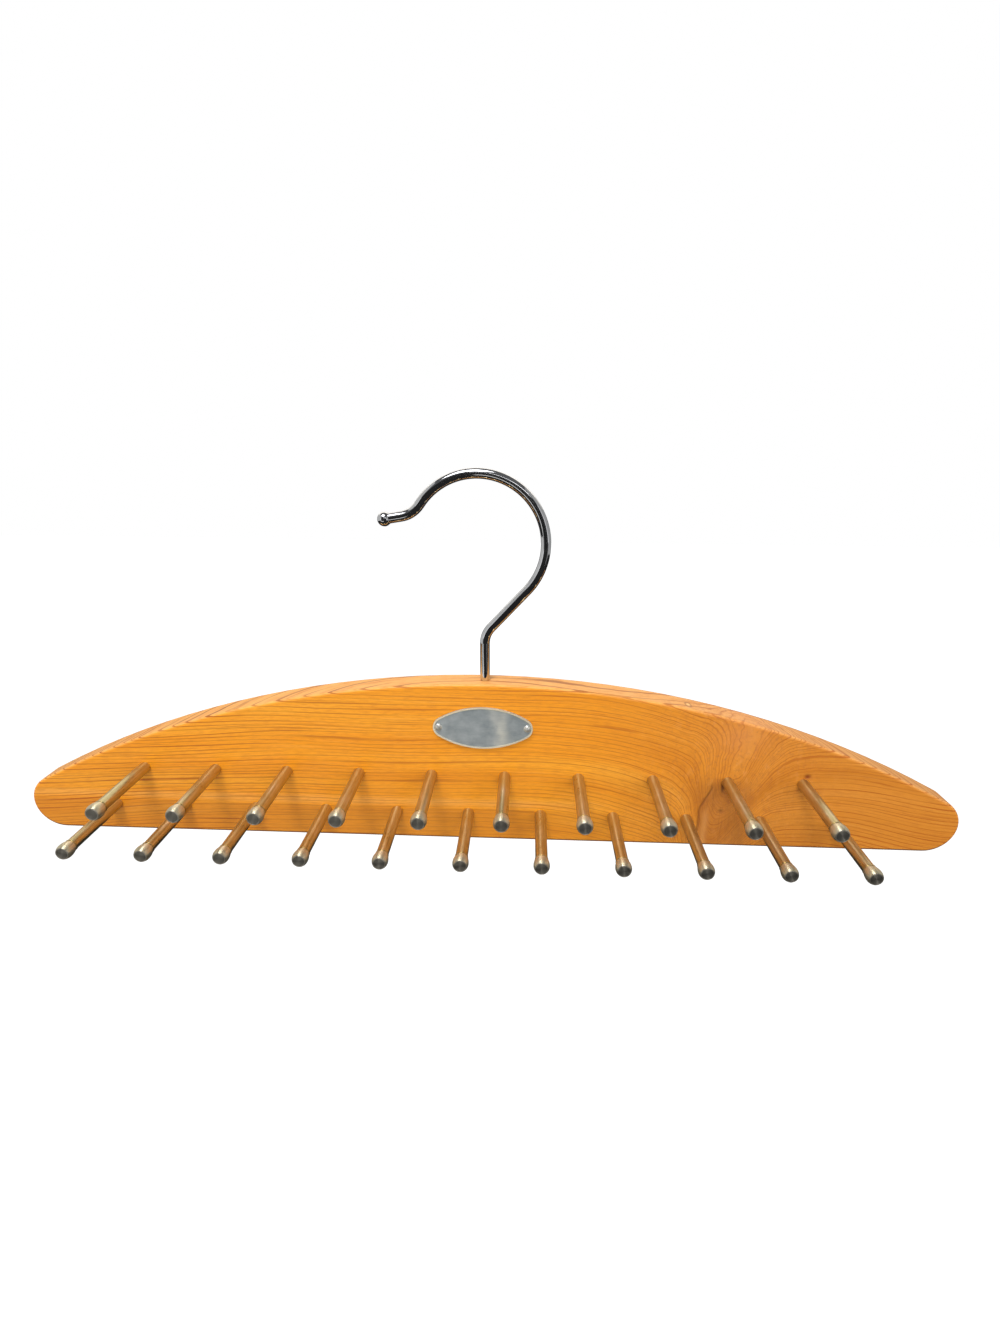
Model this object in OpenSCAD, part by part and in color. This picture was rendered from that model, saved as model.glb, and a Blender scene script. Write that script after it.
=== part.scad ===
// Tie hanger: a bowed cedar board with two staggered rows of steel pegs, hung from a wire hook that turns.
// All sizes are in mm. +X runs along the board, the pegs point to -Y, and +Z is up.
// The origin is the rod seat: the lowest point of the hook's crown on its inside, where a closet rod bears.

/* [Board] */
// Length of the board from end to end
board_w = 382; // [340:1:460]
// Height of the board at its middle
board_h = 69; // [60:0.5:90]
// Thickness of the board
board_t = 12; // [11:0.5:18]
// Radius of the round ends
nose_r = 12; // [8:0.5:18]
// Radius of the eased edges all round
edge_r = 1; // [0.4:0.1:2.5]
// Distance from the rod seat down to the top of the board
board_drop = 76; // [70:0.5:120]

/* [Pegs] */
// Distance from the left end of the board to the first lower peg
left_margin = 36.5; // [25:0.5:50]
// Distance from the right end of the board to the last lower peg
right_margin = 49.5; // [25:0.5:60]
// Height of the lower row above the bottom of the board
lower_row_up = 12.3; // [9:0.1:16]
// Height of the upper row above the lower row
row_gap = 17.3; // [14:0.1:22]
// Diameter of a peg's shank
peg_d = 4.6; // [3:0.1:5.2]
// How far a peg stands out of the board
peg_out = 36; // [28:0.5:50]
// Depth of a peg in the wood
peg_tail = 8.5; // [6:0.5:9]
// Gap left at the bottom of each peg hole
peg_hole_room = 0.5; // [0.2:0.1:1.5]
// Chamfer on the end of a peg that is in the wood
peg_chamfer = 0.5; // [0.2:0.1:0.8]
// Diameter of a peg's head at its widest
head_d = 6; // [5.4:0.1:8]
// Length of a peg's head
head_len = 5.2; // [4.4:0.1:8]
// Distance from the end face back to the widest part of the head
head_front = 1.9; // [1:0.1:3]
// Diameter of the flat end face of a head
face_d = 4.9; // [3.6:0.1:5.3]
// Height of the small collar where a head starts
collar_h = 0.2; // [0.1:0.05:0.5]
// Width of that collar along the peg
collar_w = 0.5; // [0.3:0.1:1]

/* [Hook] */
// Diameter of the hook's wire
wire_d = 3.75; // [3:0.05:5]
// Inside diameter of the hook's crown
crown_d = 46.5; // [40:0.5:60]
// How far the stem stands to the right of the middle of the crown
stem_side = 2.75; // [0:0.25:6]
// Lean of the straight run between the stem and the crown, in degrees
lean = 42.5; // [35:0.5:55]
// Centreline radius of the bend at the foot of the crown
neck_r = 9; // [4:0.25:12]
// Angle at which the crown's curve ends on its open side, counted from the right
crown_end = 145.6; // [120:0.1:155]
// Centreline radius of the outward bend at the open end
lip_r = 10.5; // [9:0.5:25]
// Angle of that outward bend
lip_turn = 46; // [25:1:55]
// Straight wire between the outward bend and the middle of the ball
tip_len = 6.25; // [3:0.25:9]
// Diameter of the ball on the tip
ball_d = 5.2; // [4.6:0.1:8]

/* [Hook tail] */
// Plain part of the wire inside the wood
tail_plain = 5; // [3:0.5:8]
// Distance between the ring grooves on the tail
groove_pitch = 1.8; // [1.4:0.1:2.4]
// Number of ring grooves on the tail
groove_count = 8; // [4:1:9]
// Depth of a ring groove
groove_depth = 0.45; // [0.3:0.05:0.6]
// Length of the tapered end of the tail
tail_taper = 2.2; // [1.5:0.1:3]
// Gap all round between the tail and the wood, so the hook can turn
turn_gap = 0.08; // [0.06:0.01:0.1]
// Gap below the end of the tail
tail_room = 0.6; // [0.3:0.1:1.5]

/* [Badge] */
// Length of the oval badge
badge_w = 39.2; // [30:0.1:50]
// Height of the oval badge
badge_h = 17.5; // [14:0.5:22]
// End radius of the oval
badge_end_r = 4.4; // [3.6:0.1:6]
// Thickness of the badge inside its rim
badge_t = 0.6; // [0.4:0.05:1.2]
// Width of the raised rim
rim_w = 0.6; // [0.3:0.05:1]
// Height of the raised rim above the badge
rim_h = 0.2; // [0.1:0.05:0.4]
// Distance from the top of the board to the middle of the badge
badge_drop = 18; // [15:0.5:20]
// How far the badge stands to the right of the hook's stem
badge_side = -0.5; // [-3:0.25:3]
// Distance between the two badge pins
pin_gap = 34.9; // [25:0.1:36]
// Diameter of a badge pin's head
pin_head_d = 2.9; // [2:0.1:3.3]
// Height of a badge pin's domed head
pin_head_h = 0.7; // [0.5:0.05:1]
// Diameter of a badge pin's shank
pin_d = 1.2; // [0.8:0.1:1.5]
// Depth of a badge pin in the wood
pin_tail = 5; // [3:0.5:7]
// Gap between a badge pin's shank and the badge
pin_gap_r = 0.05; // [0.02:0.01:0.15]
// Gap below the end of a badge pin
pin_room = 0.4; // [0.2:0.1:1]

/* [Hidden] */
$fn = 64;
big = 2000;

wood = [0.93, 0.60, 0.20];
chrome = [0.80, 0.81, 0.83];
nickel = [0.72, 0.68, 0.62];
tin = [0.58, 0.61, 0.64];

// Board outline: round ends joined by a straight bottom and one long bow
board_top = -board_drop;
board_bottom = board_top - board_h;
nose_x = board_w / 2 - nose_r;
nose_z = board_bottom + nose_r;
rise = board_top - nose_z;
// The bow passes this far inside the round ends, so that they cross it cleanly
nose_lap = 0.03;
bow_nose = nose_r - nose_lap;
bow_r = (nose_x * nose_x + rise * rise - bow_nose * bow_nose) / (2 * (rise - bow_nose));
bow_z = board_top - bow_r;
bow_end = nose_x + bow_nose * nose_x / (bow_r - bow_nose);
front_y = -board_t / 2;

// Peg pattern: the upper pegs stand midway between the lower ones
lower_count = 11;
upper_count = lower_count - 1;
peg_pitch = (board_w - left_margin - right_margin) / (lower_count - 1);
lower_z = board_bottom + lower_row_up;
upper_z = lower_z + row_gap;
function lower_x(i) = stem_side - board_w / 2 + left_margin + (i - 1) * peg_pitch;
function upper_x(i) = lower_x(i) + peg_pitch / 2;

// Peg head arcs: one swells back to the shank, one turns in to the end face
shank_r = peg_d / 2;
head_r = head_d / 2;
head_back = head_len - head_front;
back_arc_r = (pow(head_r - shank_r, 2) + pow(head_back, 2)) / (2 * (head_r - shank_r));
front_arc_r = (pow(head_r - face_d / 2, 2) + pow(head_front, 2)) / (2 * (head_r - face_d / 2));
head_wide = peg_out - head_front;

// Hook wire: stem, neck bend, leaning run, crown, outward lip and tip, each tangent to the next
wire_r = wire_d / 2;
crown_r = crown_d / 2 + wire_r;
crown_z = -crown_d / 2;
run_all = (crown_r * cos(lean) - stem_side) / sin(lean);
neck_len = neck_r * tan(lean / 2);
run_len = run_all - neck_len;
neck_z = crown_z - crown_r * sin(lean) - run_all * cos(lean) - neck_len;
stem_len = neck_z - board_top;
// A ball this much fatter than the wire joins two bends whose ends meet
join_r = wire_r + 0.003;

// Hook tail and its bore, as points of [radius, height below the top of the board]
tail_grooved = groove_count * groove_pitch;
tail_len = tail_plain + tail_grooved + tail_taper;
function groove_points(r, i = 0) = i >= groove_count ? [] : concat(
    [[r - groove_depth, -tail_plain - (i + 0.5) * groove_pitch], [r, -tail_plain - (i + 1) * groove_pitch]],
    groove_points(r, i + 1));
tail_points = concat([[0, stem_len], [wire_r, stem_len], [wire_r, -tail_plain]], groove_points(wire_r),
    [[wire_r / 3, -tail_len], [0, -tail_len]]);
bore_r = wire_r + turn_gap;
bore_points = concat([[0, big], [bore_r, big], [bore_r, -tail_plain]], groove_points(bore_r),
    [[bore_r, -tail_len - tail_room], [0, -tail_len - tail_room]]);

// Badge oval: two end arcs and two long arcs, all tangent
badge_x = stem_side + badge_side;
badge_z = board_top - badge_drop;
oval_x = badge_w / 2 - badge_end_r;
oval_r = (oval_x * oval_x + badge_h * badge_h / 4 - badge_end_r * badge_end_r) / (badge_h - 2 * badge_end_r);
oval_cut = oval_x * oval_r / (oval_r - badge_end_r);
pin_dome_r = (pow(pin_head_d / 2, 2) + pow(pin_head_h, 2)) / (2 * pin_head_h);

// Turns a drawing's X and Y to the object's X and Z, and its Z to -Y
module upright() rotate([90, 0, 0]) children();

// Half section of the board's edge, with the edge of the section at r and its corners eased in steps
module edge_section(r, inner) polygon(concat(
    [[inner, board_t / 2], [inner, -board_t / 2]],
    [for (a = [0:30:90]) [r - edge_r + edge_r * sin(a), edge_r - edge_r * cos(a) - board_t / 2]],
    [for (a = [90:-30:0]) [r - edge_r + edge_r * sin(a), board_t / 2 - edge_r + edge_r * cos(a)]]));

module board_blank() {
    upright() {
        for (s = [0, 1]) mirror([s, 0, 0])
            translate([nose_x, nose_z, 0]) rotate([0, 0, -90])
                rotate_extrude(angle = 180) edge_section(nose_r, 0);
        intersection() {
            translate([0, bow_z, 0]) rotate_extrude() edge_section(bow_r, (bow_r - rise) / 2);
            translate([-bow_end, nose_z, -board_t]) cube([2 * bow_end, board_h, 2 * board_t]);
        }
    }
    translate([-nose_x, 0, nose_z]) rotate([0, 90, 0])
        linear_extrude(height = 2 * nose_x) edge_section(nose_r, 0);
}

module board() color(wood) difference() {
    translate([stem_side, 0, 0]) board_blank();
    translate([stem_side, 0, board_top]) rotate_extrude() polygon(bore_points);
    for (i = [1:upper_count]) peg_hole(upper_x(i), upper_z);
    for (i = [1:lower_count]) peg_hole(lower_x(i), lower_z);
    for (s = [-1, 1]) translate([badge_x + s * pin_gap / 2, front_y + pin_tail + pin_room, badge_z])
        upright() cylinder(d = pin_d, h = pin_tail + pin_room + big);
}

module peg_hole(x, z) translate([x, front_y + peg_tail + peg_hole_room, z])
    upright() cylinder(r = shank_r, h = peg_tail + peg_hole_room + big);

// One peg standing on its drawing's Z, with the face of the board at Z = 0
module peg() rotate_extrude() {
    polygon([[0, -peg_tail], [shank_r - peg_chamfer, -peg_tail], [shank_r, peg_chamfer - peg_tail],
        [shank_r, head_wide], [0, head_wide]]);
    translate([0, head_wide - head_back - collar_w]) square([shank_r + collar_h, collar_w]);
    intersection() {
        translate([head_r - back_arc_r, head_wide]) circle(r = back_arc_r);
        translate([0, head_wide - head_back]) square([head_r, head_back]);
    }
    intersection() {
        translate([head_r - front_arc_r, head_wide]) circle(r = front_arc_r);
        translate([0, head_wide]) square([head_r, head_front]);
    }
}

module upper_peg(i) color(nickel) translate([upper_x(i), front_y, upper_z]) upright() peg();
module lower_peg(i) color(nickel) translate([lower_x(i), front_y, lower_z]) upright() peg();

// A bend of wire about the origin, from the X axis on
module wire_bend(r, sweep) rotate_extrude(angle = sweep) translate([r, 0]) circle(r = wire_r);

module hook() color(chrome) {
    translate([stem_side, 0, board_top]) rotate_extrude() polygon(tail_points);
    translate([stem_side, 0, neck_z]) sphere(r = join_r);
    translate([0, 0, crown_z]) upright() {
        rotate([0, 0, crown_end]) translate([crown_r, 0, 0]) sphere(r = join_r);
        rotate([0, 0, -lean]) {
            wire_bend(crown_r, crown_end + lean);
            translate([crown_r, 0, 0]) rotate([90, 0, 0]) cylinder(r = wire_r, h = run_len);
            translate([crown_r + neck_r, -run_len, 0]) rotate([0, 0, 180]) wire_bend(neck_r, lean);
        }
        rotate([0, 0, crown_end]) translate([crown_r + lip_r, 0, 0]) rotate([0, 0, 180 - lip_turn]) {
            wire_bend(lip_r, lip_turn);
            translate([lip_r, 0, 0]) rotate([90, 0, 0]) cylinder(r = wire_r, h = tip_len);
            translate([lip_r, -tip_len, 0]) sphere(d = ball_d);
        }
    }
}

module long_arc_at(s) translate([0, s * (badge_h / 2 - oval_r)]) children();

// The oval at full size, or drawn in by a width
module oval(inset) {
    intersection() {
        long_arc_at(1) circle(r = oval_r - inset, $fn = 200);
        long_arc_at(-1) circle(r = oval_r - inset, $fn = 200);
        square([2 * oval_cut, 2 * badge_h], center = true);
    }
    for (s = [-1, 1]) translate([s * oval_x, 0]) circle(r = badge_end_r - inset);
}

module badge_plate() color(tin) translate([badge_x, front_y, badge_z]) upright() difference() {
    union() {
        linear_extrude(height = badge_t) oval(0);
        linear_extrude(height = badge_t + rim_h) difference() {
            oval(0);
            oval(rim_w);
        }
    }
    for (s = [-1, 1]) translate([s * pin_gap / 2, 0, -1]) cylinder(r = pin_d / 2 + pin_gap_r, h = badge_t + 2);
}

module badge_pin(s) color(chrome) translate([badge_x + s * pin_gap / 2, front_y, badge_z]) upright() {
    translate([0, 0, -pin_tail]) cylinder(d = pin_d, h = pin_tail + badge_t);
    intersection() {
        translate([0, 0, badge_t + pin_head_h - pin_dome_r]) sphere(r = pin_dome_r);
        translate([0, 0, badge_t]) cylinder(d = pin_head_d, h = pin_head_h + 1);
    }
}

board();
hook();
badge_plate();
badge_pin(-1);  // badge_pin_left
badge_pin(1);  // badge_pin_right
for (i = [1:upper_count]) upper_peg(i);
for (i = [1:lower_count]) lower_peg(i);
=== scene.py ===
"""Looks of the tie hanger: cedar board, chromed wire hook, nickelled pegs and a bare oval badge.

Lengths in the shader graphs are in mm along the frame's axes, and in the studio they are in metres.
Colours of wood and metal are written as seen on screen, from 0 to 255. The studio's colours are
linear, from 0 to 1.
"""

import math

import bpy
from mathutils import Matrix, Vector


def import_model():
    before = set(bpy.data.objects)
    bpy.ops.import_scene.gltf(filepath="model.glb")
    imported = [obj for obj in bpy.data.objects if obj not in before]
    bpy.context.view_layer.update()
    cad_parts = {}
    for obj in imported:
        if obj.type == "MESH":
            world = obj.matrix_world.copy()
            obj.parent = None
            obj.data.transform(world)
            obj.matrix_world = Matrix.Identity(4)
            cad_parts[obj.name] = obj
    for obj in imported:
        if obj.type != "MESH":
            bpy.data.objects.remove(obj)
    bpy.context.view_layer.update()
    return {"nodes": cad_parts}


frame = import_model()
nodes = frame["nodes"]

MM = 0.001
MM_PER_METRE = 1000.0
X, Y, Z = range(3)
WHITE = (1.0, 1.0, 1.0)


def reach(node_name, axis):
    """The lowest and the highest place of a piece along an axis, in mm."""
    places = [corner[axis] * MM_PER_METRE for corner in nodes[node_name].bound_box]
    return round(min(places), 2), round(max(places), 2)


# Places and sizes read from the pieces, in mm. The front of the hanger looks towards negative y,
# and OUT is how far a piece stands out that way from the middle of the board's thickness.
BOARD_MIDDLE = sum(reach("board", X)) / 2
BOARD_FRONT = reach("board", Y)[0]
BOARD_TOP = reach("board", Z)[1]
BADGE_OUT = -reach("badge_plate", Y)[0]
PEG_OUT = -reach("upper_peg_1", Y)[0]
PEG_LOW, PEG_HIGH = reach("upper_peg_1", Z)
PEG_HEAD_DIAMETER = PEG_HIGH - PEG_LOW


# Shader arithmetic

def srgb(red, green, blue):
    """A colour as seen on screen, 0 to 255, as linear numbers."""
    def linear(value):
        value /= 255.0
        return value / 12.92 if value <= 0.04045 else ((value + 0.055) / 1.055) ** 2.4
    return tuple(linear(value) for value in (red, green, blue))


def new_material(name):
    material = bpy.data.materials.new(name)
    material.use_nodes = True
    return material, material.node_tree


class Graph:
    """A material's node tree, with the sockets that most looks need."""

    def __init__(self, name):
        self.material, self.tree = new_material(name)
        self.shader = self.tree.nodes["Principled BSDF"]
        scaled = self.new("ShaderNodeVectorMath")
        scaled.operation = "SCALE"
        self.join(self.new("ShaderNodeTexCoord").outputs["Object"], scaled.inputs[0])
        scaled.inputs["Scale"].default_value = MM_PER_METRE
        self.x, self.y, self.z = self.split(scaled.outputs[0])

    def new(self, kind):
        return self.tree.nodes.new(kind)

    def join(self, source, target):
        self.tree.links.new(source, target)

    def put(self, value, target):
        """Sets an input to a number, a colour, a term or a socket."""
        if isinstance(value, Term):
            self.join(value.socket, target)
        elif isinstance(value, bpy.types.NodeSocket):
            self.join(value, target)
        else:
            target.default_value = value

    def math(self, operation, *values):
        node = self.new("ShaderNodeMath")
        node.operation = operation
        for value, target in zip(values, node.inputs):
            self.put(value, target)
        return Term(self, node.outputs[0])

    def split(self, vector):
        """The three parts of a vector."""
        node = self.new("ShaderNodeSeparateXYZ")
        self.join(vector, node.inputs[0])
        return [Term(self, out) for out in node.outputs]

    def noise(self, where, size, detail=2.0, roughness=0.5):
        """Noise about 0, from roughly -0.5 to 0.5.

        Size is how long its features are along each part of where. A plain number in where picks
        a slice of the noise, and has 1 as its size.
        """
        place = self.new("ShaderNodeCombineXYZ")
        for value, length, target in zip(where, size, place.inputs):
            self.put(value / length, target)
        node = self.new("ShaderNodeTexNoise")
        self.join(place.outputs[0], node.inputs["Vector"])
        node.inputs["Scale"].default_value = 1.0
        node.inputs["Detail"].default_value = detail
        node.inputs["Roughness"].default_value = roughness
        return Term(self, node.outputs["Fac"]) - 0.5

    def ramp(self, value, stops):
        """A colour ramp from (position, screen colour) stops."""
        node = self.new("ShaderNodeValToRGB")
        self.put(value, node.inputs[0])
        elements = node.color_ramp.elements
        while len(elements) < len(stops):
            elements.new(1.0)
        for element, (position, colour) in zip(elements, stops):
            element.position = position
            element.color = (*srgb(*colour), 1.0)
        return node.outputs["Color"]

    def mix(self, amount, first, second):
        """The first colour where the amount is 0, and the second where it is 1."""
        node = self.new("ShaderNodeMix")
        node.data_type = "RGBA"
        self.put(amount, node.inputs["Factor"])
        self.put(first, node.inputs[6])
        self.put(second, node.inputs[7])
        return node.outputs[2]

    def tint(self, colour, amount, shade):
        """The colour with an amount of a screen colour mixed in."""
        return self.mix(amount, colour, (*srgb(*shade), 1.0))

    def bump(self, height, depth_mm, strength=1.0, under=None):
        node = self.new("ShaderNodeBump")
        node.inputs["Strength"].default_value = strength
        node.inputs["Distance"].default_value = depth_mm * MM
        self.put(height, node.inputs["Height"])
        if under is not None:
            self.join(under, node.inputs["Normal"])
        return node.outputs["Normal"]

    def set_shader(self, **values):
        """Sets the Principled shader's own sockets; _ stands for a space."""
        for name, value in values.items():
            self.put(value, self.shader.inputs[name.replace("_", " ")])


class Term:
    """A number in a shader graph that can be added, multiplied and so on."""

    def __init__(self, graph, socket):
        self.graph = graph
        self.socket = socket

    def __add__(self, other):
        return self.graph.math("ADD", self, other)

    def __sub__(self, other):
        return self.graph.math("SUBTRACT", self, other)

    def __mul__(self, other):
        return self.graph.math("MULTIPLY", self, other)

    def __truediv__(self, other):
        return self.graph.math("DIVIDE", self, other)

    def square(self):
        return self.graph.math("MULTIPLY", self, self)

    def root(self):
        return self.graph.math("SQRT", self)

    def size(self):
        return self.graph.math("ABSOLUTE", self)

    def fade(self):
        """1 at 0, falling towards 0 as the number grows."""
        return self.graph.math("EXPONENT", self * -1.0)

    def bell(self):
        """1 at 0, falling off on both sides."""
        return self.square().fade()

    def step(self, low, high, first=0.0, last=1.0):
        """Smoothly from first at low to last at high."""
        node = self.graph.new("ShaderNodeMapRange")
        node.interpolation_type = "SMOOTHSTEP"
        self.graph.put(self, node.inputs["Value"])
        settings = {"From Min": low, "From Max": high, "To Min": first, "To Max": last}
        for name, value in settings.items():
            node.inputs[name].default_value = value
        return Term(self.graph, node.outputs["Result"])


def wear(node_names, graph):
    for name in node_names:
        piece = nodes[name]
        piece.data.materials.clear()
        piece.data.materials.append(graph.material)


# Cedar

# How the rings run, in mm. A fall lowers their lines, and a width is where a dip fades out.
RING_PITCH = 1.75
RISE_PER_DEPTH = 0.3
FUNNEL_WIDTH, FUNNEL_FALL = 12.0, 30.0
BASIN_WIDTH, BASIN_FALL = 42.0, 14.0
UNREST_WIDTH, UNREST = 24.0, 5.0
RIGHT_END_FALL = 19.0
LEFT_END_FALL = 8.0
DRIFT = 8.0

# Places on the front, in mm from the board's middle and its top
HEART_X, HEART_Z, HEART_LEAN = 105.7, -10.0, 0.233
FOOT_LEVEL = -55.0
STRIP_BOTTOM, STRIP_TOP = -53.6, -51.0
SEAM_X, SEAM_SHIFT = 87.3, 4.0
STRIPE_FROM_SEAM = 2.6

# Spots on the front: where across, where up, half width and half height
CLOUD_SPOT = (101.0, -19.0, 10.0, 9.0)
KNOT_SHADE_SPOT = (88.0, -46.0, 6.0, 8.0)
LONG_PIT = (95.4, -41.5, 0.7, 2.8)
ROUND_PIT = (95.8, -52.4, 0.9, 0.7)
NICK_SPOT = (127.9, -36.0, 1.2, 1.0)

# The pin knot in the top edge: across, in from the front, and up
PIN_KNOT_AT = (79.4, 4.6, -8.5)
PIN_KNOT_RADII = (1.1, 2.2, 3.0)

LEFT_WOOD = ((0.25, (238, 146, 18)), (0.5, (245, 156, 24)), (0.75, (250, 168, 38)))
RIGHT_WOOD = ((0.25, (204, 124, 32)), (0.5, (218, 137, 42)), (0.78, (230, 151, 58)))
PAINTED_TOP_SHEEN = (224, 170, 104)
FOOT = (206, 122, 26)
FOOT_STRIP = (252, 180, 84)
LATE_WOOD = (182, 92, 12)
LATE_WOOD_ON_TOP = (116, 70, 18)
DARK_LINE = (188, 102, 18)
PALE_LINE = (253, 184, 88)
DARK_FIBRE = (190, 106, 30)
FLECK = (176, 96, 26)
DARK_CURL = (186, 104, 42)
PALE_CURL = (236, 162, 82)
FUZZ = (182, 104, 46)
KNOT_PATCH = (170, 100, 42)
KNOT_LINE = (140, 80, 32)
KNOT_SHADE = (168, 98, 40)
CLOUD = (226, 146, 82)
CLOUD_STREAK = (196, 112, 62)
PALE_STRIPE = (226, 160, 88)
SEAM = (104, 54, 18)
PIT = (84, 42, 14)
NICK = (124, 44, 14)
PIN_KNOT = (246, 200, 132)
PIN_KNOT_RING = (150, 84, 26)
# The last three are painted shade on the board's eased corners and the rear of its top
PAINTED_UNDERSIDE_SHADE = (92, 54, 30)
PAINTED_BACK_CORNER_SHADE = (134, 98, 74)
PAINTED_REAR_SHADE = (138, 96, 74)


class Cedar(Graph):
    """The board's wood.

    Here x runs to the right from the board's middle, z up from the board's top, so that it is
    negative in the wood, and depth from the front face towards the back.
    """

    def __init__(self):
        super().__init__("cedar_board")
        self.x = self.x - BOARD_MIDDLE
        self.z = self.z - BOARD_TOP
        self.depth = self.y - BOARD_FRONT
        # How far to the right of the line that leans through the knot
        self.heart = self.x - HEART_X - (self.z - HEART_Z) * HEART_LEAN
        self.right = self.x.step(20.0, 120.0)
        self.look_at_faces()
        self.grow()

    def look_at_faces(self):
        """Masks for the top edge, and for the eased corners between edges and flat faces."""
        normal = self.new("ShaderNodeNewGeometry").outputs["True Normal"]
        _, self.back, self.upward = self.split(normal)
        self.top = self.upward.step(0.1, 0.8)
        slant = self.back.size()
        self.eased = slant.step(0.1, 0.24) * slant.step(0.97, 0.99, 1.0, 0.0)

    def grow(self):
        """The grain, from growth rings down to fibres.

        Rings run level on the left, dip in a funnel at the knot, and fall slowly to both ends.
        """
        x, z, depth, heart = self.x, self.z, self.depth, self.heart
        self.drift = self.noise((x, depth, z), (120.0, 30.0, 45.0), 1.0)
        wobble = self.noise((x, depth, z), (9.0, 9.0, 9.0), 2.0, 0.55)
        funnel = (heart / FUNNEL_WIDTH).bell() * z.step(-44.0, -6.0, 1.0, 0.1) * FUNNEL_FALL
        basin = (heart / BASIN_WIDTH).bell() * BASIN_FALL
        right_fall = heart.step(8.0, 95.0, 0.0, RIGHT_END_FALL)
        left_fall = x.step(-200.0, -70.0, LEFT_END_FALL, 0.0)
        unrest = wobble * ((heart / UNREST_WIDTH).bell() * UNREST + 0.25)
        rings = (z - depth * RISE_PER_DEPTH + funnel + basin + right_fall + left_fall
                 + self.drift * DRIFT + unrest)

        self.slow = self.noise((rings, x, 3.0), (9.0, 160.0, 1.0))
        uneven = self.noise((rings, x, 11.0), (6.0, 200.0, 1.0))
        turns = (rings / RING_PITCH + uneven * 3.4) * math.tau
        along = self.noise((rings, x, depth), (2.2, 48.0, 40.0), 2.0, 0.6)
        self.late = self.math("SINE", turns).step(0.66, 0.99) * along.step(-0.24, 0.1)
        self.lines = self.noise((rings, x, depth), (0.85, 55.0, 50.0), 3.0, 0.7)
        self.fibre = self.noise((rings, x, depth), (0.42, 4.5, 5.0), 2.0, 0.6)
        self.flecks = self.noise((x, depth, rings), (1.6, 1.6, 0.5), 2.0, 0.6)

    def spot(self, at_x, at_z, wide, high):
        """1 at a place on the front, falling off all round it."""
        across = (self.x - at_x) / wide
        up = (self.z - at_z) / high
        return (across.square() + up.square()).fade()

    def paint_grain(self):
        """The wood away from the knot, with a darker foot and a pale strip on the left."""
        x, late, lines = self.x, self.late, self.lines
        left_wood = self.ramp(self.slow + 0.5, LEFT_WOOD)
        right_wood = self.ramp(self.slow + lines * 0.35 + 0.5, RIGHT_WOOD)
        colour = self.mix(self.right * self.depth.step(0.5, 3.0, 0.9, 0.45), left_wood, right_wood)
        # Painted sheen: the top face is tinted paler for the light and reflection that it catches
        colour = self.tint(colour, self.top * 0.6, PAINTED_TOP_SHEEN)

        wander = self.drift * 1.5
        foot = (self.z - FOOT_LEVEL + wander).step(-0.5, 0.5, 1.0, 0.0)
        strip_rise = (self.z - STRIP_BOTTOM + wander).step(-1.4, 1.4)
        strip = strip_rise * (self.z - STRIP_TOP).step(-1.0, 2.0, 1.0, 0.0)
        colour = self.tint(colour, foot * x.step(10.0, 60.0, 1.0, 0.0) * 0.42, FOOT)
        colour = self.tint(colour, strip * x.step(10.0, 60.0, 0.5, 0.0), FOOT_STRIP)

        strength = x.step(-130.0, -10.0, 1.0, 0.62) + self.right * 0.28
        colour = self.tint(colour, late * strength, LATE_WOOD)
        on_top = late * self.top * x.step(60.0, 100.0, 0.5, 0.15)
        colour = self.tint(colour, on_top, LATE_WOOD_ON_TOP)
        colour = self.tint(colour, lines.step(0.05, 0.2) * 0.6, DARK_LINE)
        colour = self.tint(colour, lines.step(-0.02, -0.24) * 0.25, PALE_LINE)
        colour = self.tint(colour, self.fibre.step(-0.1, 0.22) * 0.32, DARK_FIBRE)
        return self.tint(colour, self.flecks.step(0.1, 0.3) * 0.12, FLECK)

    def paint_curls(self, colour):
        """Curly, mottled wood round the knot."""
        where = (self.x, self.depth, self.z)
        curl = self.noise(where, (3.2, 4.0, 4.2), 3.0, 0.6)
        fuzz = self.noise(where, (1.1, 2.0, 1.5), 3.0, 0.6)
        around = (self.heart / 34.0).bell()
        colour = self.tint(colour, curl.step(0.02, 0.22) * around * 0.5, DARK_CURL)
        colour = self.tint(colour, fuzz.step(0.0, 0.2) * around * 0.55, FUZZ)
        return self.tint(colour, curl.step(-0.02, -0.22) * around * 0.32, PALE_CURL)

    def paint_knot(self, colour):
        """A darker, redder patch with a seam on its left, pits, and a peach cloud above it.

        Gives the colour, and the height of what is sunk into the wood.
        """
        x, z = self.x, self.z
        ragged = self.noise((z, self.depth, 5.0), (5.0, 6.0, 1.0), 3.0, 0.6)
        from_seam = x - SEAM_X - z.step(-53.0, -41.0, 0.0, SEAM_SHIFT) + ragged * 1.5
        seam = (from_seam / 0.5).bell() * z.step(-43.0, -39.0, 1.0, 0.0)
        stripe = ((from_seam - STRIPE_FROM_SEAM) / 1.3).bell() * z.step(-56.0, -50.0, 1.0, 0.0)
        patch = (from_seam.step(-1.0, 0.5) * x.step(104.0, 112.0, 1.0, 0.0)
                 * z.step(-46.0, -34.0, 1.0, 0.0))
        cloud = self.spot(*CLOUD_SPOT)
        streaks = self.noise((x - z * 0.5, z, 7.0), (0.9, 14.0, 1.0), 3.0, 0.6)
        upright = self.noise((x + ragged, z, 9.0), (0.8, 18.0, 1.0), 3.0, 0.65)
        pits = self.spot(*LONG_PIT) + self.spot(*ROUND_PIT) * 0.7
        nick = self.spot(*NICK_SPOT)

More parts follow.
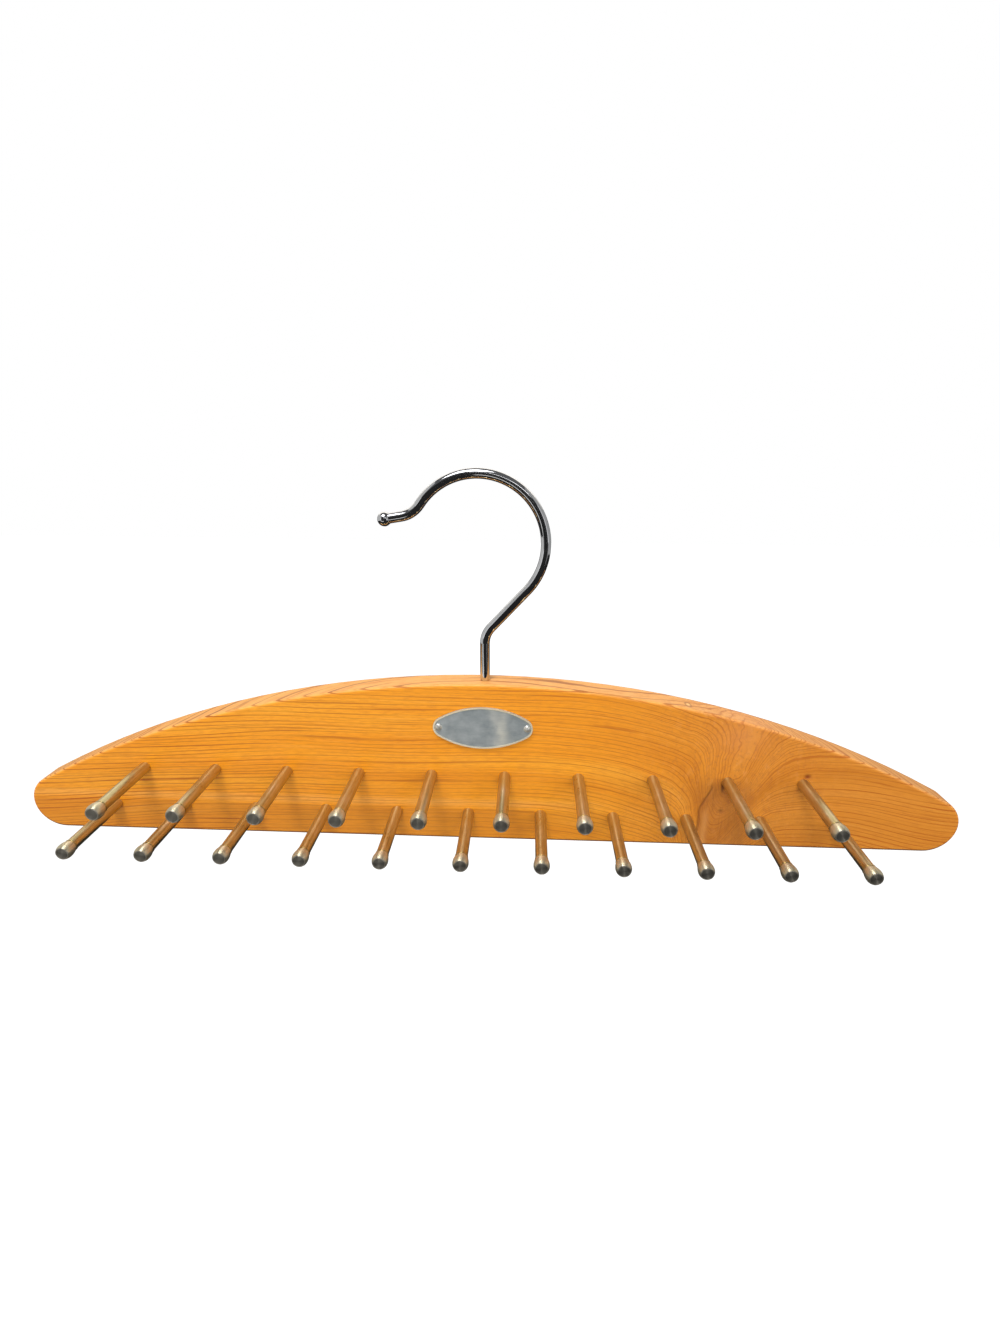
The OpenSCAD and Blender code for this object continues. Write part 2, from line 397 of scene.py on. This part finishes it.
        colour = self.tint(colour, patch * 0.42, KNOT_PATCH)
        colour = self.tint(colour, patch * upright.step(0.0, 0.25) * 0.4, KNOT_LINE)
        colour = self.tint(colour, cloud * 0.4, CLOUD)
        colour = self.tint(colour, cloud * streaks.step(0.03, 0.25) * 0.4, CLOUD_STREAK)
        colour = self.tint(colour, self.spot(*KNOT_SHADE_SPOT) * 0.35, KNOT_SHADE)
        colour = self.tint(colour, stripe * 0.45, PALE_STRIPE)
        colour = self.tint(colour, seam * 0.45, SEAM)
        colour = self.tint(colour, pits * 0.75, PIT)
        return self.tint(colour, nick * 0.85, NICK), seam * -1.0 - pits - nick

    def paint_pin_knot(self, colour):
        """A small pale knot in a brown ring."""
        offsets = zip((self.x, self.depth, self.z), PIN_KNOT_AT, PIN_KNOT_RADII)
        across, inward, up = (((place - at) / radius).square() for place, at, radius in offsets)
        away = across + inward + up
        ring = ((away.root() - 1.0) / 0.32).bell()
        colour = self.tint(colour, (away * 1.5).fade() * 0.7, PIN_KNOT)
        return self.tint(colour, ring * 0.65, PIN_KNOT_RING)

    def paint_corner_shade(self, colour):
        """Painted shade on the eased corners: dark below and greyish behind.

        The top edge also has a soft brown line of painted shade at its rear, towards the right end.
        """
        eased, upward = self.eased, self.upward
        below = eased * upward.step(-0.1, -0.26)
        behind = eased * self.back.step(0.0, 0.3) * upward.step(0.0, 0.2)
        rear = self.depth.step(9.6, 11.4) * upward.step(0.0, 0.3) * self.x.step(40.0, 130.0)
        # Painted shade on the edges that face down and back, and along the rear of the top
        colour = self.tint(colour, below * 0.75, PAINTED_UNDERSIDE_SHADE)
        colour = self.tint(colour, behind * 0.6, PAINTED_BACK_CORNER_SHADE)
        return self.tint(colour, rear * 0.5, PAINTED_REAR_SHADE)


def cedar():
    wood = Cedar()
    colour = wood.paint_curls(wood.paint_grain())
    colour, sunk = wood.paint_knot(colour)
    colour = wood.paint_corner_shade(wood.paint_pin_knot(colour))
    late, lines, fibre = wood.late, wood.lines, wood.fibre
    grain = wood.bump(late * -0.6 - lines + fibre * 0.8, 0.05, 0.5)
    wood.set_shader(
        Base_Color=colour,
        Roughness=wood.eased * 0.15 + lines * 0.16 + fibre * 0.18 + wood.slow * 0.1 + 0.44,
        Normal=wood.bump(sunk, 0.25, 0.8, grain),
        Specular_IOR_Level=0.35,
        Coat_Weight=wood.top.step(0.0, 1.0, 0.12, 0.02),
        Coat_Roughness=0.3)
    return wood


# Metals

# Where one look gives way to the next, as how far out it is from the middle of the board, in mm
BADGE_RIM = (BADGE_OUT - 0.18, BADGE_OUT - 0.04)
PEG_BOARD_REFLECTION_REACH = (2.0 - BOARD_FRONT, 20.0 - BOARD_FRONT)
PEG_HEAD = (PEG_OUT - 5.4, PEG_OUT - 4.2)
PEG_FACE = (PEG_OUT - 0.15, PEG_OUT - 0.03)
# The same for the rim of a peg's flat face, from the peg's axis; the rim gets a painted highlight
PEG_FACE_RIM_HIGHLIGHT = (2.02, 2.16)

CHROME = ((0.3, (205, 206, 210)), (0.7, (226, 227, 230)))
NICKEL = ((0.25, (182, 167, 120)), (0.5, (206, 193, 148)), (0.75, (222, 208, 178)))
NICKEL_PAINTED_BOARD_REFLECTION = (208, 186, 120)
NICKEL_HEAD_PAINTED_HIGHLIGHT = (232, 222, 204)
SAWN_FACE = (136, 133, 126)
PAINTED_RIM_HIGHLIGHT = (216, 208, 192)
BADGE_FIELD = ((0.3, (146, 154, 157)), (0.7, (176, 182, 183)))
BADGE_PAINTED_SHEEN = (222, 220, 208)
BADGE_RIM_COLOUR = (238, 226, 196)
PIN = ((0.3, (212, 208, 198)), (0.7, (238, 236, 228)))


def chrome():
    g = Graph("chromed_wire")
    where = (g.x, g.y, g.z)
    smear = g.noise(where, (9.0, 9.0, 9.0), 3.0, 0.6)
    fine = g.noise(where, (0.5, 0.5, 0.5), 2.0, 0.6)
    g.set_shader(
        Base_Color=g.ramp(smear + 0.5, CHROME),
        Metallic=1.0,
        Roughness=smear * 0.04 + fine * 0.02 + 0.07,
        Normal=g.bump(smear, 0.01, 0.05))
    return g


def nickel():
    """Turned pegs: fine lathe rings round them, a warm tint that is painted reflection of the board
    and strongest near it, and painted highlights on the heads and face rims.
    """
    g = Graph("peg_nickel")
    out = g.y * -1.0
    film = g.noise((g.x, g.y, g.z), (6.0, 9.0, 6.0), 3.0, 0.6)
    turned = g.noise((g.y, 3.0, 3.0), (0.2, 1.0, 1.0), 2.0, 0.6)
    streaks = g.noise((g.x, g.y, g.z), (0.7, 14.0, 0.7), 2.0, 0.6)
    head = out.step(*PEG_HEAD)
    face = out.step(*PEG_FACE)
    colour = g.ramp(film * 0.7 + streaks * 0.8 + 0.5, NICKEL)
    # Painted reflection: a warm tint, strongest near the board, for the board mirrored in the shaft
    colour = g.tint(colour, (out + film * 8.0).step(*PEG_BOARD_REFLECTION_REACH, 0.6, 0.05), NICKEL_PAINTED_BOARD_REFLECTION)
    # Painted highlight: the heads are made lighter for the broad highlight they catch
    colour = g.tint(colour, head * 0.4, NICKEL_HEAD_PAINTED_HIGHLIGHT)

    # The sawn-off face of the head: dull inside a turned rim that has a painted highlight
    beside, _, above = g.split(g.new("ShaderNodeTexCoord").outputs["Generated"])
    beside, above = beside - 0.5, above - 0.5
    from_axis = (beside.square() + above.square()).root() * PEG_HEAD_DIAMETER
    rim = from_axis.step(*PEG_FACE_RIM_HIGHLIGHT)
    dull = g.tint((*srgb(*SAWN_FACE), 1.0), rim * 0.75, PAINTED_RIM_HIGHLIGHT)

    round_axis = g.new("ShaderNodeTangent")
    round_axis.direction_type = "RADIAL"
    round_axis.axis = "Y"
    g.set_shader(
        Base_Color=g.mix(face * 0.92, colour, dull),
        Metallic=head.step(0.0, 1.0, 0.96, 0.88) + face * 0.06,
        Roughness=film * 0.1 + streaks * 0.1 + head * 0.14 + 0.3,
        Normal=g.bump(turned, 0.01, 0.12),
        Anisotropic=0.85,
        Anisotropic_Rotation=0.25,
        Tangent=round_axis.outputs[0])
    return g


def badge_metal():
    """A brushed field inside a polished rim; the oval is left bare."""
    g = Graph("badge_metal")
    where = (g.x, g.y, g.z)
    brush = g.noise(where, (6.0, 3.0, 0.12), 3.0, 0.7)
    cloud = g.noise(where, (5.0, 5.0, 4.0), 3.0, 0.6)
    raised = (g.y * -1.0).step(*BADGE_RIM)
    # Two lines of painted sheen that cross to the right of the middle: one slants, one is nearly
    # upright
    slanting = ((g.x + g.z * 0.35 + 24.0 + cloud * 5.0) / 2.2).bell()
    upright = ((g.x - g.z * 0.12 - 21.0 + cloud * 4.0) / 1.6).bell()
    field = g.ramp(cloud + brush * 0.4 + 0.5, BADGE_FIELD)
    field = g.tint(field, (slanting + upright) * (brush + 0.6) * 0.6, BADGE_PAINTED_SHEEN)
    g.set_shader(
        Base_Color=g.tint(field, raised, BADGE_RIM_COLOUR),
        Metallic=0.4,
        Roughness=brush * 0.15 - raised * 0.1 + 0.36,
        Normal=g.bump(cloud * 4.0 + brush, 0.03, 0.35))
    return g


def pin_metal():
    g = Graph("pin_metal")
    film = g.noise((g.x, g.y, g.z), (1.0, 1.0, 1.0), 3.0, 0.6)
    g.set_shader(
        Base_Color=g.ramp(film + 0.5, PIN),
        Metallic=0.75,
        Roughness=film * 0.15 + 0.34,
        Normal=g.bump(film, 0.02, 0.3))
    return g


wear(["board"], cedar())
wear(["hook"], chrome())
wear([name for name in nodes if "_peg_" in name], nickel())
wear(["badge_plate"], badge_metal())
wear(["badge_pin_left", "badge_pin_right"], pin_metal())


# Studio

CENTRE = (0.0, 0.0, -0.11)
KEY_PLACE = (-0.2, -0.38, 0.9)
FLOOR_HALF = 6.0
FLOOR_LEVEL = -1.0
FLOOR_GREY = 0.42
# What the floor adds for the camera, so that it is seen white with the light that falls on it
FLOOR_GLOW = 0.84
# The world's strength as it lights surfaces, and as the camera, gloss and clear materials see it
WORLD_LIGHT = 0.56
WORLD_SEEN = 1.0


def grey(level):
    return (level, level, level)


def flat_piece(name, half_x, half_y, z, material):
    """A rectangle about its own origin."""
    mesh = bpy.data.meshes.new(name)
    corners = [(x, y, z) for x, y in ((-half_x, -half_y), (half_x, -half_y),
                                      (half_x, half_y), (-half_x, half_y))]
    mesh.from_pydata(corners, [], [(0, 1, 2, 3)])
    mesh.materials.append(material)
    piece = bpy.data.objects.new(name, mesh)
    bpy.context.collection.objects.link(piece)
    return piece


def aim(thing, place, look_at, front_axis):
    thing.location = place
    direction = Vector(look_at) - Vector(place)
    thing.rotation_euler = direction.to_track_quat(front_axis, "Y").to_euler()


def stage_card(name, size, place, look_at, colour, strength=1.0):
    """A flat card that only reflections see."""
    material, tree = new_material(name)
    tree.nodes.clear()
    glow = tree.nodes.new("ShaderNodeEmission")
    glow.inputs["Color"].default_value = (*colour, 1.0)
    glow.inputs["Strength"].default_value = strength
    tree.links.new(glow.outputs[0], tree.nodes.new("ShaderNodeOutputMaterial").inputs[0])
    card = flat_piece(name, size[0] / 2, size[1] / 2, 0.0, material)
    aim(card, place, look_at, "Z")
    card.visible_camera = False
    card.visible_diffuse = False
    card.visible_shadow = False


def floor():
    material, tree = new_material("floor")
    shader = tree.nodes["Principled BSDF"]
    shader.inputs["Base Color"].default_value = (*grey(FLOOR_GREY), 1.0)
    shader.inputs["Roughness"].default_value = 0.9
    shader.inputs["Emission Color"].default_value = (*WHITE, 1.0)
    path = tree.nodes.new("ShaderNodeLightPath")
    glow = tree.nodes.new("ShaderNodeMath")
    glow.operation = "MULTIPLY"
    glow.inputs[1].default_value = FLOOR_GLOW
    tree.links.new(path.outputs["Is Camera Ray"], glow.inputs[0])
    tree.links.new(glow.outputs[0], shader.inputs["Emission Strength"])
    plane = flat_piece("floor", FLOOR_HALF, FLOOR_HALF, FLOOR_LEVEL, material)


def world():
    sky = bpy.data.worlds.new("studio")
    bpy.context.scene.world = sky
    sky.use_nodes = True
    tree = sky.node_tree
    path = tree.nodes.new("ShaderNodeLightPath")
    seen = path.outputs["Is Camera Ray"]
    for name in ("Is Glossy Ray", "Is Transmission Ray"):
        both = tree.nodes.new("ShaderNodeMath")
        both.operation = "MAXIMUM"
        tree.links.new(seen, both.inputs[0])
        tree.links.new(path.outputs[name], both.inputs[1])
        seen = both.outputs[0]
    level = tree.nodes.new("ShaderNodeMapRange")
    level.inputs["To Min"].default_value = WORLD_LIGHT
    level.inputs["To Max"].default_value = WORLD_SEEN
    background = tree.nodes["Background"]
    background.inputs["Color"].default_value = (*WHITE, 1.0)
    tree.links.new(seen, level.inputs["Value"])
    tree.links.new(level.outputs["Result"], background.inputs["Strength"])


def soft_box(name, size, place, look_at, watts):
    light = bpy.data.lights.new(name, "AREA")
    light.shape = "RECTANGLE"
    light.size, light.size_y = size
    light.energy = watts
    lamp = bpy.data.objects.new(name, light)
    bpy.context.collection.objects.link(lamp)
    aim(lamp, place, look_at, "-Z")


floor()
world()

# The key is a broad box with a small bright middle, so that the pegs' shadows keep their shape
soft_box("key", (0.7, 0.55), KEY_PLACE, CENTRE, 5.8)
soft_box("key_core", (0.2, 0.2), KEY_PLACE, CENTRE, 4.0)
soft_box("front", (1.0, 0.8), (0.3, -1.2, 0.25), CENTRE, 6.4)

# What the metals mirror: dark in front and below, two sides, a pale card low in front, a dim one
# high in front, a ceiling, and a back wall in bands
stage_card("dark_front", (2.0, 1.5), (0.0, -1.0, -0.25), (0.0, 0.0, -0.25), grey(0.02))
stage_card("dark_below", (5.0, 5.0), (0.0, 1.4, -0.7), (0.0, 1.4, 0.0), grey(0.02))
stage_card("wall_low", (4.0, 1.0), (0.0, 1.6, -0.2), (0.0, 0.0, -0.2), grey(0.2))
stage_card("side_left", (3.0, 2.6), (-1.9, 0.1, 0.4), CENTRE, (0.6, 0.6, 0.58))
stage_card("side_right", (3.0, 2.6), (1.9, 0.1, 0.4), CENTRE, (0.42, 0.42, 0.41))
stage_card("front_low", (1.4, 0.6), (-0.77, -0.95, -0.75), (-0.77, 0.0, -0.75), (0.8, 0.79, 0.76))
stage_card("front_high", (4.0, 1.6), (0.0, -1.2, 1.4), CENTRE, grey(0.12))
stage_card("ceiling", (5.0, 3.0), (0.0, 0.7, 2.3), (0.0, 0.7, 0.0), grey(0.12))
stage_card("wall_middle", (4.0, 0.25), (0.0, 1.6, 0.425), (0.0, 0.0, 0.425), (0.42, 0.42, 0.41))
stage_card("wall_bright", (4.0, 0.8), (0.0, 1.6, 0.95), (0.0, 0.0, 0.95), (1.0, 0.93, 0.82), 2.1)
stage_card("wall_high", (4.0, 2.0), (0.0, 1.6, 2.35), (0.0, 0.0, 2.35), (0.45, 0.45, 0.44))


# Camera

# Fitted to the photograph, with turns in degrees
FRAME_HIGH_PX = 1333
FOCAL_PX = 673.49
SENSOR_MM = 36.0
CAMERA_MM = (18.459, -246.529, 17.774)
PAN, TILT, ROLL = 2.289, -19.686, -0.383

camera = bpy.data.objects.new("camera", bpy.data.cameras.new("camera"))
bpy.context.collection.objects.link(camera)
camera.data.sensor_width = SENSOR_MM
camera.data.lens = FOCAL_PX / FRAME_HIGH_PX * SENSOR_MM
camera.data.clip_start = 0.01
turn = (Matrix.Rotation(math.radians(PAN), 3, "Z") @ Matrix.Rotation(math.radians(TILT), 3, "X")
        @ Matrix.Rotation(math.radians(ROLL), 3, "Y"))
right_way, ahead, up = (turn.col[i] for i in range(3))
facing = Matrix((right_way, up, -ahead)).transposed()
camera.matrix_world = Matrix.Translation(Vector(CAMERA_MM) * MM) @ facing.to_4x4()
bpy.context.scene.camera = camera
bpy.context.scene.view_settings.view_transform = "Standard"
